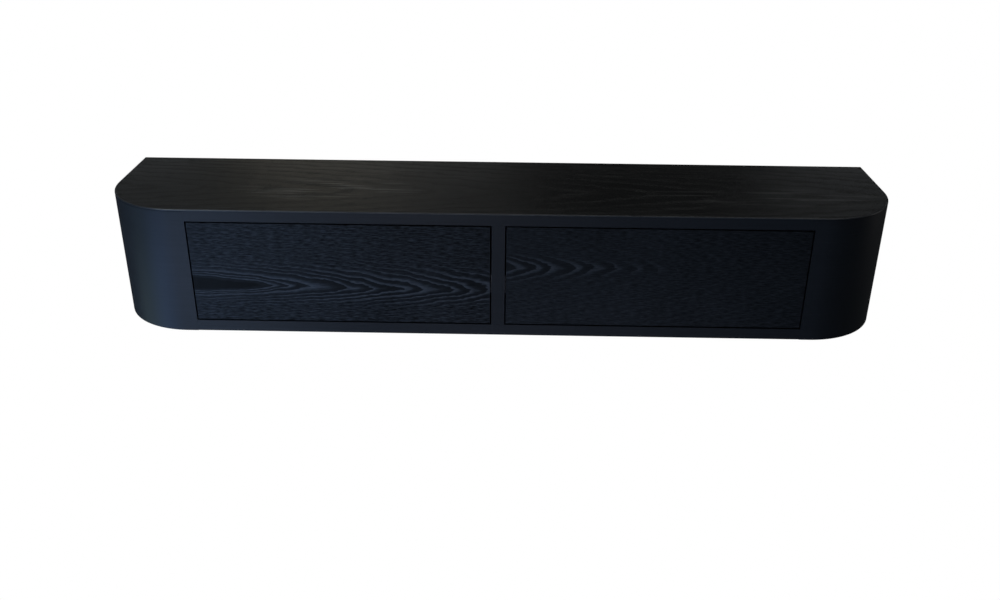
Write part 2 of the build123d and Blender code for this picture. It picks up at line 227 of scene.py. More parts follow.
# %% [markdown]
# ## Making a mesh piece
#
# A finished piece has its place in its vertices and rides on the body that its board belongs to.
# `settle` does that for a piece in one call. The springs don't go through it and ride on no body.


# %% Helpers for pieces
def new_object(name, mesh):
    piece = bpy.data.objects.new(name, mesh)
    bpy.context.scene.collection.objects.link(piece)
    return piece


def applied(piece):
    """Turns a piece's modifiers into plain mesh and removes them."""
    bpy.context.view_layer.update()
    seen = piece.evaluated_get(bpy.context.evaluated_depsgraph_get())
    mesh = bpy.data.meshes.new_from_object(seen)
    piece.modifiers.clear()
    piece.data = mesh
    return piece


def shade(mesh, angle=35.0):
    """Smooth shading, except over edges that turn more than the angle."""
    mesh.shade_smooth()
    mesh.set_sharp_from_angle(angle=math.radians(angle))


def box_of(points):
    low = Vector([min(p[axis] for p in points) for axis in range(3)])
    high = Vector([max(p[axis] for p in points) for axis in range(3)])
    return low, high


def body_of(node):
    return next(name for name, nodes in frame["record"]["behaviour"]["bodies"].items() if node in nodes)


def slot_of(node):
    return next(s["material_slot"] for s in frame["record"]["subparts"] if s["node"] == node)


def settle(piece, node):
    """The piece rides on the node's body and stands for it; the node's finish slot is only looked up."""
    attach(piece, body_of(node))
    slot_of(node)
    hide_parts(node)


print("the top rides on", body_of("top_skin"))


# %% [markdown]
# ## Wood coordinates
#
# Grain follows a board, not the room. Each wooden piece stores three numbers in its vertices: how
# far a point lies along the grain, across it, and through the thickness. On a plain board these
# are its long, middle and short sides. On the frame, "along" is measured round the bend, so the
# grain runs on from the front into the curved ends.


# %% Store where the grain runs
def store_grain(mesh, places):
    attribute = mesh.attributes.get("grain") or mesh.attributes.new("grain", "FLOAT_VECTOR", "POINT")
    attribute.data.foreach_set("vector", [value for place in places for value in place])


def board_grain(mesh):
    """Along, across and through, from the middle of the board's own box."""
    points = [v.co for v in mesh.vertices]
    low, high = box_of(points)
    order = sorted(range(3), key=lambda axis: low[axis] - high[axis])
    store_grain(mesh, [[p[axis] - (low[axis] + high[axis]) / 2 for axis in order] for p in points])


def round_the_bend(x, y):
    """(distance along the front and round the corner from the middle, depth behind the surface)."""
    side = -1 if x < 0 else 1
    bend_start = HALF_WIDTH - CORNER
    dx = abs(x) - bend_start
    dy = FRONT + CORNER - y
    if dx <= 0:
        return x, y - FRONT
    if dy <= 0:
        return side * (bend_start + CORNER * math.pi / 2 - dy), CORNER - dx
    return side * (bend_start + CORNER * math.atan2(dx, dy)), CORNER - math.hypot(dx, dy)


def frame_grain(mesh):
    places = []
    for vertex in mesh.vertices:
        along, depth = round_the_bend(vertex.co.x, vertex.co.y)
        places.append((along, vertex.co.z, depth))
    store_grain(mesh, places)


print("a corner takes", round(CORNER * math.pi / 2, 3), "m of veneer")

# %% [markdown]
# ## Finishes: the steel, plastic and rubber
#
# Each finish is a Principled shader fed by formulas. Zinc plating is mottled where the crystals
# grew and brighter on rubbed stretches. Moulded plastic has a faint spark texture. Rubber is dull.


# %% Start a finish
def new_finish(name):
    material = bpy.data.materials.new(name)
    material.use_nodes = True
    material.node_tree.nodes.clear()
    return material, Graph(material.node_tree)


def finish_with(graph, colour, roughness, bump, specular=0.5, metallic=0.0):
    """Ends a finish. The bump is a height, how many metres a height of 1 stands for, and a strength."""
    height, distance, strength = bump
    relief = {"Height": height, "Distance": distance, "Strength": strength}
    shader = graph.node(
        "ShaderNodeBsdfPrincipled",
        {},
        {
            "Base Color": colour,
            "Roughness": roughness,
            "Specular IOR Level": specular,
            "Metallic": metallic,
            "Normal": graph.node("ShaderNodeBump", {}, relief),
        },
    )
    graph.node("ShaderNodeOutputMaterial", {}, {"Surface": shader})


def noise(graph, place, scale, detail=3.0, roughness=0.5, offset=(0.0, 0.0, 0.0)):
    """Soft noise from 0 to 1. Three scales, one for each direction, stretch it as grain is."""
    if isinstance(scale, tuple):
        place = graph.node("ShaderNodeMapping", {}, {"Vector": place, "Scale": scale, "Location": offset})
        scale = 1.0
    inputs = {"Vector": place, "Scale": scale, "Detail": detail, "Roughness": roughness}
    return graph.node("ShaderNodeTexNoise", {}, inputs)


def ramp(graph, value, stops):
    return graph.node("ShaderNodeValToRGB", {"stops": stops}, [value])


def rising(graph, value, low, high):
    """0 up to the low value, 1 from the high value on."""
    return ramp(graph, value, [(0.0, 0.0), (low, 0.0), (high, 1.0), (1.0, 1.0)])


def clamped(graph, value):
    return graph.node("ShaderNodeClamp", {}, [value])


def spread(value, low, high):
    """Moves a value from 0..1 to low..high."""
    return value * (high - low) + low


def blend_colours(graph, share, first, second):
    return graph.node(
        "ShaderNodeMix",
        {"data_type": "RGBA"},
        {"Factor_Float": share, "A_Color": (*first, 1), "B_Color": (*second, 1)},
    ).out(2)


def object_place(graph):
    return graph.node("ShaderNodeTexCoord").out("Object")


# %% Zinc, plastic and rubber
def zinc_finish(name, dull, bright, roughness):
    material, graph = new_finish(name)
    place = object_place(graph)
    crystals = graph.node("ShaderNodeTexVoronoi", {}, {"Vector": place, "Scale": 900.0}).out("Color")
    patch = graph.node("ShaderNodeSeparateColor", {}, [crystals])
    drawn = noise(graph, place, (900.0, 12.0, 900.0))
    colour = blend_colours(graph, patch * 0.5 + drawn * 0.5, dull, bright)
    worn = spread(drawn, roughness - 0.08, roughness + 0.12)
    finish_with(graph, colour, worn, (drawn, 0.02 * MM, 0.5), metallic=1.0)
    return material


def moulded_finish(name, colour, roughness, specular):
    material, graph = new_finish(name)
    place = object_place(graph)
    spark = noise(graph, place, 4000.0, 2.0)
    darker = tuple(value * 0.75 for value in colour)
    clouded = blend_colours(graph, noise(graph, place, 60.0), darker, colour)
    dull = spread(spark, roughness - 0.08, roughness + 0.08)
    finish_with(graph, clouded, dull, (spark, 0.04 * MM, 0.6), specular)
    return material


zinc = zinc_finish("zinc_plate", (0.42, 0.44, 0.47), (0.68, 0.69, 0.7), 0.3)
# Dark runner plating, partly painted shade: it keeps the runners dark where they show through the gaps
# round the drawers.
runner_zinc = zinc_finish("runner_zinc", (0.10, 0.105, 0.11), (0.2, 0.205, 0.21), 0.38)
cage_steel = zinc_finish("cage_steel", (0.5, 0.49, 0.47), (0.75, 0.74, 0.72), 0.22)
ball_steel = zinc_finish("ball_steel", (0.7, 0.7, 0.7), (0.8, 0.8, 0.8), 0.12)
latch_plastic = moulded_finish("latch_plastic", (0.055, 0.057, 0.06), 0.45, 0.5)
plunger_plastic = moulded_finish("plunger_plastic", (0.62, 0.61, 0.58), 0.4, 0.5)
soft_rubber = moulded_finish("soft_rubber", (0.022, 0.022, 0.023), 0.75, 0.3)
print("metal, plastic and rubber finishes made")

# %% [markdown]
# ## Finish: black oak with crown-cut grain
#
# A log's growth rings are cones inside one another. A flat leaf cut near the heart slices them into
# nested flames. The formula does the same: distance from the heart, plus the cone's taper along the
# board, divided by a ring's width. The fraction of that number is the place within one year. Early
# wood is full of pores, takes stain unevenly and looks paler and rougher. Late wood is smooth and
# nearly black. Short dashes are the pores themselves. The distance to the side has a power under 2,
# which draws the flames out to a point, and runs of good and bad years make the rings uneven.


# %% Rings, pores and stain
FLAME_POINT = 1.4
FLAME_BREADTH = 0.096
HEART_SHARPNESS = 500.0
YEARS_TO_SPELL = 0.37
SPELL_SWING = 2.4
PORE_SCALES = (26.0, 1100.0)
PAINTED_SHEEN_SCALES = (5.0, 75.0)


def distance_from_heart(graph, along, across, leaf):
    """(distance from the middle of the log, distance to one side of it) of a place on the leaf."""
    place = graph.node("ShaderNodeCombineXYZ", {}, [along, across, leaf["seed"]])
    wander = noise(graph, place, (2.5, 2.5, 1.0), 1.0) - 0.5
    waver = noise(graph, place, (17.0, 30.0, 1.0), 2.0) - 0.5
    ragged = noise(graph, place, (60.0, 240.0, 1.0), 2.0) - 0.5
    side = across - leaf["heart"] + wander * leaf["wander"]
    side = graph.math("ABSOLUTE", side) * (1 + leaf["lean"]) - side * leaf["lean"]
    deep = along * leaf["taper"] + leaf["depth"]
    breadth = graph.math("POWER", side, FLAME_POINT) * FLAME_BREADTH
    distance = graph.math("SQRT", breadth + deep * deep)
    return distance + waver * leaf["waver"] + ragged * leaf["ragged"], side


def ring_number(graph, distance, leaf):
    """Which year the wood grew in. Spells of good and bad years make the rings uneven."""
    years = distance / leaf["ring"]
    spell = graph.node("ShaderNodeCombineXYZ", {}, [years * YEARS_TO_SPELL, 0.0, leaf["seed"]])
    return years + noise(graph, spell, 1.0) * SPELL_SWING


def early_wood(graph, years):
    """1 in the porous half of a ring, falling to 0 in the late wood."""
    stops = [(0.0, 1.0), (0.14, 0.92), (0.38, 0.16), (0.6, 0.0), (0.94, 0.0), (1.0, 0.85)]
    return ramp(graph, graph.math("FRACT", years), stops)


def streaks(graph, along, across, scales, seed, low, high):
    """Lines along the grain: 0 where the noise is under low and 1 where it is over high."""
    place = graph.node("ShaderNodeCombineXYZ", {}, [along, across, seed])
    return rising(graph, noise(graph, place, (*scales, 1.0), 3.0, 0.6), low, high)


def painted_sheen(graph, along, across, seed, middle, half_size, strength):
    """A painted highlight: long pale lines in an oval patch, strongest in its middle and gone at its rim.
    """
    over_x = (along - middle[0]) / half_size[0]
    over_y = (across - middle[1]) / half_size[1]
    inside = clamped(graph, 1.0 - (over_x * over_x + over_y * over_y))
    return streaks(graph, along, across, PAINTED_SHEEN_SCALES, seed + 7.0, 0.52, 0.6) * inside * strength


def black_oak(name, along_axis, across_axis, leaf):
    """A stained leaf. Its grain runs along one axis of the cabinet and its rings across another."""
    material, graph = new_finish(name)
    place = object_place(graph)
    axes = graph.node("ShaderNodeSeparateXYZ", {}, [place])
    along, across = axes.out(along_axis), axes.out(across_axis)
    distance, side = distance_from_heart(graph, along, across, leaf)
    past_heart = ramp(graph, (distance - leaf["heartwood"]) * HEART_SHARPNESS, [(0.0, 0.0), (1.0, 1.0)])
    early = early_wood(graph, ring_number(graph, distance, leaf)) * past_heart
    far_out = side * leaf["spread"] + along * leaf["narrowing"]
    wide = ramp(graph, far_out, [(0.0, 1.0), (0.25, 1.0), (0.6, leaf["away"]), (1.0, leaf["away"])])
    dashes = streaks(graph, along, across, leaf["dash"], leaf["seed"] + 3.0, 0.36, 0.64)
    pores = streaks(graph, along, across, PORE_SCALES, leaf["seed"] + 5.0, 0.5, 0.62)
    cloud = noise(graph, place, 5.0, 2.0)
    figure = early * spread(dashes, 0.6, 1.05)
    field = (dashes - 0.5) * leaf["streak"] * past_heart * (1.2 - wide)
    pale = figure * wide * leaf["contrast"] + field + (cloud - 0.5) * 0.2
    # Painted highlights: pale sheen lines added into the colour.
    for patch in leaf["painted_sheens"]:
        pale = pale + painted_sheen(graph, along, across, leaf["seed"], *patch)
    # Paleness that the stain gives the field. On the right leaf it is set lower, partly as painted shade.
    stain_and_shade = past_heart * (1.15 - wide * 0.6) * leaf["stain_and_shade"]
    pale = clamped(graph, pale + pores * early * 0.1 + stain_and_shade)
    colour = blend_colours(graph, pale, leaf["dark"], leaf["pale"])
    sheen = spread(figure, leaf["roughness"], leaf["roughness"] + 0.16)
    open_pores = 1.0 - pores * spread(early, 0.35, 1.0)
    finish_with(graph, colour, sheen, (open_pores, 0.25 * MM, 0.55), leaf["specular"])
    return material


# %% [markdown]
# The two drawer faces are cut from one log, but not from the same depth. The left leaf is a full
# row of flames whose tips point right, with a wedge of solid dark heartwood at its left end. The
# right leaf leaves the heart after the first third, so its flames fade and only dashes are left.
# The top has long, faint flames and two painted highlights: oval patches where pale lines are
# painted in for the sheen of the light on its grain. All sizes are metres. "taper" is how much nearer
# the bark the cut gets for each metre along, and "spread" and "away" say how quickly and how far the
# flames fade to the sides.

# %% The three leaves
LEFT_LEAF = {
    "heart": 0.117,
    "lean": 0.15,
    "depth": 0.0624,
    "taper": 0.074,
    "narrowing": 0.0,
    "heartwood": 0.021,
    "ring": 0.0042,
    "wander": 0.016,
    "waver": 0.006,
    "ragged": 0.0016,
    "contrast": 0.86,
    "spread": 10.0,
    "away": 0.16,
    "dash": (60.0, 420.0),
    "streak": 0.46,
    "stain_and_shade": 0.2,
    # The bluish tint of the dark and pale colours is painted light, the cool window light on the drawer
    # fronts; the right leaf shares it.
    "dark": (0.0035, 0.0042, 0.0045),
    "pale": (0.066, 0.075, 0.087),
    "painted_sheens": (),
    "roughness": 0.45,
    "specular": 0.05,
    "seed": 11.0,
}
RIGHT_LEAF = {
    **LEFT_LEAF,
    "heart": 0.172,
    "lean": 0.0,
    "depth": 0.045,
    "taper": 0.085,
    "narrowing": 1.3,
    "heartwood": 0.0,
    "ring": 0.0038,
    "wander": 0.008,
    "waver": 0.004,
    "contrast": 0.66,
    "spread": 14.0,
    "away": 0.06,
    "streak": 0.22,
    # Lower than the left leaf's: the right leaf is a little darker, partly as painted shade for the
    # front's light falling off to the right.
    "stain_and_shade": 0.18,
    "seed": 4.0,
}
TOP_LEAF = {
    **LEFT_LEAF,
    "heart": -0.04,
    "lean": 0.0,
    "depth": 0.16,
    "taper": 0.03,
    "heartwood": 0.0,
    "ring": 0.0052,
    "wander": 0.03,
    "waver": 0.005,
    "contrast": 0.22,
    "spread": 4.0,
    "away": 0.3,
    "dash": (6.0, 130.0),
    "streak": 0.36,
    # The warmer tint of the dark and pale colours is painted light, the warm light falling on the top.
    "dark": (0.0048, 0.0047, 0.0045),
    "pale": (0.066, 0.065, 0.062),
    # Painted highlights on the top: (middle, half size, strength) of each oval patch of pale sheen lines.
    "painted_sheens": (((-0.40, -0.035), (0.24, 0.09), 1.1), ((0.62, -0.05), (0.34, 0.07), 0.65)),
    "roughness": 0.4,
    "specular": 0.08,
    "seed": 41.0,
}
left_oak = black_oak("left_leaf", "X", "Z", LEFT_LEAF)
right_oak = black_oak("right_leaf", "X", "Z", RIGHT_LEAF)
top_oak = black_oak("top_leaf", "X", "Y", TOP_LEAF)
print("three oak leaves stained")

# %% [markdown]
# ## Finish: the smooth frame
#
# The frame is sanded finer and lacquered in more coats than the drawer faces, so its pores are
# filled and only a hint of grain shows. Its colour is tinted a little blue as painted light, for the
# cool window light on the front. A very fine orange-peel keeps the sheen from looking like glass.


# %% Frame, birch plywood and beech
def stored_grain(graph):
    return graph.node("ShaderNodeAttribute", {"attribute_name": "grain"}).out("Vector")


def smooth_frame(name, dark, pale, smooth=0.36, specular=0.16):
    material, graph = new_finish(name)
    grain = stored_grain(graph)
    line = noise(graph, grain, (5.0, 260.0, 40.0), 4.0, 0.6)
    cloud = noise(graph, grain, (4.0, 9.0, 4.0), offset=(3.0, 1.0, 0.0))
    peel = noise(graph, grain, 900.0, 2.0)
    share = clamped(graph, spread(line, -0.1, 0.7) + (cloud - 0.5) * 0.6)
    colour = blend_colours(graph, share, dark, pale)
    sheen = spread(cloud, smooth, smooth + 0.16)
    finish_with(graph, colour, sheen, (peel * 0.6 + line * 0.4, 0.06 * MM, 0.35), specular)
    return material


def plywood(name, ply, light, dark):
    """Birch plywood: veneers of one thickness, laid crosswise, seen as stripes on every edge."""
    material, graph = new_finish(name)
    grain = stored_grain(graph)
    parts = graph.node("ShaderNodeSeparateXYZ", {}, [grain])
    layer = graph.math("ABSOLUTE", parts.out("Z") / ply + 0.5)
    crosswise = graph.math("PINGPONG", graph.math("FLOOR", layer), 1.0)
    with_grain = noise(graph, grain, (5.0, 120.0, 60.0), 4.0, 0.6)
    end_grain = noise(graph, grain, 900.0, 2.0)
    glue = ramp(graph, graph.math("FRACT", layer), [(0.0, 1.0), (0.06, 0.0), (0.94, 0.0), (1.0, 1.0)])
    shade = with_grain * 0.55 + crosswise * spread(end_grain, 0.25, 0.6)
    colour = blend_colours(graph, clamped(graph, shade + glue * 0.4 - 0.1), light, dark)
    finish_with(graph, colour, spread(with_grain, 0.42, 0.6), (with_grain, 0.08 * MM, 0.3), 0.35)
    return material


def plain_wood(name, light, dark):
    material, graph = new_finish(name)
    grain = stored_grain(graph)
    rings = noise(graph, grain, (3.0, 45.0, 45.0))
    fleck = rising(graph, noise(graph, grain, (160.0, 1500.0, 1500.0), 2.0), 0.55, 0.66)
    colour = blend_colours(graph, clamped(graph, rings * 0.9 + fleck * 0.35 - 0.15), light, dark)
    finish_with(graph, colour, spread(rings, 0.55, 0.7), (1.0 - fleck, 0.12 * MM, 0.4), 0.3)
    return material


# The blue tint of both colours is painted light: the cool window light on the front.
frame_black = smooth_frame("frame_black", (0.0120, 0.0140, 0.0170), (0.0220, 0.0255, 0.0300))
# The top's rounded edge: glossier than the frame, and paler in colour as a painted highlight along the
# edge.
glossy_edge_painted_highlight = smooth_frame("glossy_edge_painted_highlight", (0.018, 0.021, 0.025), (0.030, 0.034, 0.039), 0.25, 1.0)
inside_black = smooth_frame("inside_black", (0.0085, 0.0088, 0.0092), (0.016, 0.0165, 0.017))
birch_ply = plywood("birch_ply", 1.5 * MM, (0.66, 0.5, 0.33), (0.42, 0.27, 0.15))
beech = plain_wood("beech", (0.6, 0.42, 0.27), (0.44, 0.27, 0.16))
print("wood finishes made")

# %% [markdown]
# ## Boards with soft edges
#
# No sawn edge is perfectly sharp: a maker takes it off with fine paper. The model's boards are exact
# and sharp, so each is copied, its triangles are joined back into whole faces, and a Bevel modifier
# eases only the long edges. Screw holes are left as they are. Cutting the bevel into the vertices
# by hand would need a case for every notch; the modifier handles them all.


# %% Soften a board
MERGE = 0.001 * MM
LONG_EDGE = 6 * MM
SHARP = math.radians(50)


def merged_copy(node):
    """A copy of a node to work on, with the corners that its triangles share made one."""
    work = bmesh.new()
    work.from_mesh(frame["nodes"][node].data)
    bmesh.ops.remove_doubles(work, verts=work.verts, dist=MERGE)
    return work


def mesh_from(work, name):
    mesh = bpy.data.meshes.new(name)
    work.to_mesh(mesh)
    work.free()
    shade(mesh)
    return mesh


def whole_faces(node):
    """A copy of a node's mesh with its triangles joined into whole faces."""
    work = merged_copy(node)
    bmesh.ops.dissolve_limit(work, angle_limit=math.radians(0.5), verts=work.verts, edges=work.edges)
    bmesh.ops.recalc_face_normals(work, faces=work.faces)
    weight = work.edges.layers.float.new("bevel_weight_edge")
    for edge in work.edges:
        sharp = len(edge.link_faces) == 2 and edge.calc_face_angle() > SHARP
        edge[weight] = 1.0 if sharp and edge.calc_length() > LONG_EDGE else 0.0
    return mesh_from(work, node)


def ease_and_settle(node, mesh, ease, finish, grain):
    piece = new_object(f"{node}_eased", mesh)
    bevel = piece.modifiers.new("ease", "BEVEL")
    bevel.width = ease
    bevel.segments = 3
    bevel.limit_method = "WEIGHT"
    bevel.use_clamp_overlap = False
    bevel.harden_normals = True
    applied(piece)
    grain(piece.data)
    piece.data.materials.clear()
    piece.data.materials.append(finish)
    settle(piece, node)


def soften(node, ease, finish, grain=board_grain):
    """A piece that looks like the node with its long edges eased."""
    ease_and_settle(node, whole_faces(node), ease, finish, grain)


CARCASS_BOARDS = (
    "top_board",
    "bottom_board",
    "centre_divider",
    "left_runner_panel",
    "right_runner_panel",
    "back_panel",
)
for node in CARCASS_BOARDS:
    soften(node, 0.5 * MM, inside_black)
for node in ("hanging_cleat", "wall_cleat", "lower_batten"):
    soften(node, 0.8 * MM, beech)
print("carcass boards eased:", len(CARCASS_BOARDS) + 3)

# %% [markdown]
# ## The lippings
#
# Three thin strips close the front edges of the boards. They meet the curved ends and each other
# with glued, sanded joints, so the joints hardly show. Their long edges, ends too, are eased a quarter
# millimetre.

# %% Lippings
for node in ("top_lipping", "bottom_lipping", "centre_lipping"):
    soften(node, 0.25 * MM, frame_black, frame_grain)
print("lippings eased")

# %% [markdown]
# ## The bent ends
#
# Each end is one sheet of plywood, bent round a former: a straight side, a quarter round and a short
# flat that meets the drawer opening. That is a section carried along a path, so a Geometry Nodes
# tree makes it. A line of three points has its middle point moved to the corner, Fillet Curve rounds
# that corner, and Curve to Mesh carries the wall's section along it.


# %% Start a Geometry Nodes tree
def new_tree(name, sizes):
    """A tree with a geometry input and output and one named number for each size."""
    tree = bpy.data.node_groups.new(name, "GeometryNodeTree")
    tree.interface.new_socket("Geometry", in_out="INPUT", socket_type="NodeSocketGeometry")
    for size in sizes:
        tree.interface.new_socket(size, in_out="INPUT", socket_type="NodeSocketFloat")
    tree.interface.new_socket("Geometry", in_out="OUTPUT", socket_type="NodeSocketGeometry")
    graph = Graph(tree)
    return graph, graph.node("NodeGroupInput")


def end_tree(graph, geometry, finish):
    """Realize Instances and Set Material, then the output."""
    real = graph.node("GeometryNodeRealizeInstances", {}, [geometry])
    coloured = graph.node("GeometryNodeSetMaterial", {}, {"Geometry": real, "Material": finish})
    graph.node("NodeGroupOutput", {}, [coloured])
    return graph.tree


def tidy_mesh(mesh, angle=35.0):
    """Merges doubles, turns every face outwards and shades smoothly up to an angle."""
    work = bmesh.new()
    work.from_mesh(mesh)
    bmesh.ops.remove_doubles(work, verts=work.verts, dist=2 * MERGE)
    bmesh.ops.recalc_face_normals(work, faces=work.faces)
    work.to_mesh(mesh)
    work.free()
    shade(mesh, angle)


def flat_faces_first(piece):
    """Lets the large faces set the shading, so that a small rounding doesn't bend their light."""
    weighted = piece.modifiers.new("flat faces first", "WEIGHTED_NORMAL")
    weighted.keep_sharp = True
    return applied(piece)


def grown(name, tree, sizes, seeds=None):
    """What a tree makes, as a plain mesh. Its sizes are set by socket before it is first worked out."""
    piece = new_object(name, seeds or bpy.data.meshes.new(name))
    modifier = piece.modifiers.new(tree.name, "NODES")
    modifier.node_group = tree
    for socket in tree.interface.items_tree:
        if socket.in_out == "INPUT" and socket.name in sizes:
            modifier[socket.identifier] = float(sizes[socket.name])
    applied(piece)
    tidy_mesh(piece.data)
    return flat_faces_first(piece)


# %% Steps that several trees share
def point_of(graph, x, y, z):
    return graph.node("ShaderNodeCombineXYZ", {}, [x, y, z])


def line_of(graph, start, end, count):
    """A straight curve from start to end, with a number of points."""
    line = graph.node("GeometryNodeCurvePrimitiveLine", {}, {"Start": start, "End": end})
    return graph.node("GeometryNodeResampleCurve", {}, {"Curve": line, "Count": count})


def circle_of(graph, sides, radius):
    return graph.node("GeometryNodeCurvePrimitiveCircle", {}, {"Resolution": sides, "Radius": radius})


def rounded(graph, curve, steps, radius):
    """A curve with its corners rounded."""
    inputs = {"Curve": curve, "Count": steps, "Radius": radius}
    return graph.node("GeometryNodeFilletCurve", {"mode": "POLY"}, inputs)


def swept(graph, curve, section, **scale):
    """A section carried along a curve, with closed ends."""
    inputs = {"Curve": curve, "Profile Curve": section, "Fill Caps": True, **scale}
    return graph.node("GeometryNodeCurveToMesh", {}, inputs)


def moved(graph, geometry, **how):
    return graph.node("GeometryNodeTransform", {}, {"Geometry": geometry, **how})


# %% Grow the two ends
BEND_STEPS = 36
ARRIS_STEPS = 4
SMALL_ARRIS = 1.5 * MM


def bent_end_tree(finish):
    sizes = ("Half Width", "Front", "Back", "Opening End", "Corner", "Wall", "Height", "Arris", "Side")
    graph, given = new_tree("bent_end", sizes)
    wall, height, side = given.out("Wall"), given.out("Height"), given.out("Side")
    outer = side * (given.out("Half Width") - wall * 0.5)
    front = given.out("Front") + wall * 0.5
    start = point_of(graph, side * given.out("Opening End"), front, 0.0)
    end = point_of(graph, outer, given.out("Back"), 0.0)
    index = graph.node("GeometryNodeInputIndex")
    cornered = graph.node(
        "GeometryNodeSetPosition",
        {},
        {
            "Geometry": line_of(graph, start, end, 3),
            "Selection": graph.math("COMPARE", index, 1.0, 0.5),
            "Position": point_of(graph, outer, front, 0.0),
        },
    )
    path = rounded(graph, cornered, BEND_STEPS, given.out("Corner") - wall * 0.5)
    path = graph.node("GeometryNodeSetCurveNormal", {"mode": "Z_UP"}, [path])
    section = graph.node(
        "GeometryNodeCurvePrimitiveQuadrilateral",
        {},
        {"Width": wall, "Height": height},
    )
    spot = graph.node("ShaderNodeSeparateXYZ", {}, [graph.node("GeometryNodeInputPosition")])
    outside = graph.math("GREATER_THAN", spot.out("X") * side, 0.0)
    below = graph.math("LESS_THAN", spot.out("Y"), 0.0)
    eased = rounded(graph, section, ARRIS_STEPS, given.out("Arris") * outside * below)
    raised = moved(graph, swept(graph, path, eased), Translation=point_of(graph, 0.0, 0.0, height * 0.5))
    return end_tree(graph, raised, finish)


bent_end = bent_end_tree(frame_black)
for node, side in (("left_end_shell", -1), ("right_end_shell", 1)):
    sizes = {
        "Half Width": HALF_WIDTH,
        "Front": FRONT,
        "Back": BACK,
        "Opening End": OPENING_END,
        "Corner": CORNER,
        "Wall": SHELL,
        "Height": SKIN_LOW,
        "Arris": SMALL_ARRIS,
        "Side": side,
    }
    piece = grown(f"{node}_bent", bent_end, sizes)
    frame_grain(piece.data)
    settle(piece, node)
    print(piece.name, len(piece.data.polygons), "faces")

# %% [markdown]
# ## The top sheet
#
# One veneered sheet covers the whole top, and its front and end edges are rounded over. It is built
# as rings in mesh code: the same outline of the cabinet, drawn in a little further at each height of
# the rounding. The rings keep even, four-sided faces all the way round, which a bevel on the flat
# sheet's long arcs wouldn't. The flat face takes the figured leaf and the upright edge the frame's
# finish. Hands and cloths polish the rounding between them, so its finish shines a little more, and
# its colour is paler than the frame's as a painted highlight along the edge.

# %% Build the top sheet
TOP_ARRIS = 2.5 * MM
CORNER_STEPS = 40
ROUND_STEPS = 6


def outline(inset):
    """The plan drawn in by inset, from the right end of the wall side round the front to the left."""
    half = HALF_WIDTH - inset
    radius = CORNER - inset
    across = HALF_WIDTH - CORNER
    centre = FRONT + CORNER
    quarter = [math.pi / 2 * step / CORNER_STEPS for step in range(CORNER_STEPS + 1)]
    right = [(across + radius * math.cos(turn), centre - radius * math.sin(turn)) for turn in quarter]
    left = [(-x, y) for x, y in reversed(right)]
    return [(half, BACK), *right, *left, (-half, BACK)]


def rounding(low, high, arris):
    """(inset, height) of each ring: the edge, then a quarter round up to the flat."""
    turns = [math.pi / 2 * step / ROUND_STEPS for step in range(ROUND_STEPS + 1)]
    curve = [(arris * (1 - math.cos(turn)), high - arris * (1 - math.sin(turn))) for turn in turns]
    return [(0.0, low), *curve]


def build_top_sheet(finishes):
    work = bmesh.new()
    rings = []
    for inset, height in rounding(SKIN_LOW, TOP, TOP_ARRIS):
        rings.append([work.verts.new((x, y, height)) for x, y in outline(inset)])
    for number, (lower, upper) in enumerate(zip(rings, rings[1:])):
        for here, there in zip(range(len(lower)), range(1, len(lower))):
            face = work.faces.new((lower[there], lower[here], upper[here], upper[there]))
            face.material_index = 1 if number == 0 else 2
    work.faces.new(rings[-1])
    work.faces.new(list(reversed(rings[0])))
    ends = [ring[0] for ring in rings] + [ring[-1] for ring in reversed(rings)]
    work.faces.new(ends).material_index = 1
    mesh = bpy.data.meshes.new("top_skin")
    work.to_mesh(mesh)
    work.free()
    tidy_mesh(mesh, 50.0)
    sheet = new_object("top_sheet", mesh)
    for finish in finishes:
        mesh.materials.append(finish)
    flat_faces_first(sheet)
    frame_grain(sheet.data)
    settle(sheet, "top_skin")
    return sheet


top_sheet = build_top_sheet((top_oak, frame_black, glossy_edge_painted_highlight))
print("top sheet:", len(top_sheet.data.polygons), "faces")

# %% [markdown]
# ## The drawers
#
# A thick-cut leaf covers a black core, so no handle or edge strip breaks the figure. The box behind
# is birch plywood with finger joints. Its boards are copies of the model's, with only the upper rim
# eased, because a maker sands the fingers flush.


# %% Leaves, cores and boxes
def soften_some(node, ease, finish, chosen):
    """Like soften, but only for the edges that chosen(middle) says."""
    mesh = whole_faces(node)
    weight = mesh.attributes["bevel_weight_edge"].data
    for edge in mesh.edges:
        ends = [mesh.vertices[i].co for i in edge.vertices]
        if not chosen((ends[0] + ends[1]) / 2):
            weight[edge.index].value = 0.0
    ease_and_settle(node, mesh, ease, finish, board_grain)


for side in ("left", "right"):
    leaf = left_oak if side == "left" else right_oak
    soften(f"{side}_drawer_face", 0.2 * MM, leaf)
    soften(f"{side}_drawer_front", 0.3 * MM, inside_black)
    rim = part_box(f"{side}_drawer_box_back")[1].z - 0.1 * MM
    for part in ("box_front", "box_back", "left_side", "right_side"):
        soften_some(f"{side}_drawer_{part}", 1.2 * MM, birch_ply, lambda middle: middle.z > rim)
    soften(f"{side}_drawer_bottom", 0.3 * MM, birch_ply)
print("drawer boards done")

# %% [markdown]
# ## Turned things
#
# Screws and dowels are turned on an axis. The tree lays a straight line, gives each of its points a
# distance and a radius, and sweeps a section along it. A sum picks each point's own value by its
# number, because a field has no list to look things up in.


# %% A turned solid in nodes
def by_number(graph, values):
    """Gives point 0 the first value, point 1 the second, and so on."""
    index = graph.node("GeometryNodeInputIndex")
    total = 0.0
    for number, value in enumerate(values):
        mine = graph.math("COMPARE", index, float(number), 0.5)
        total = mine * value + total
    return total


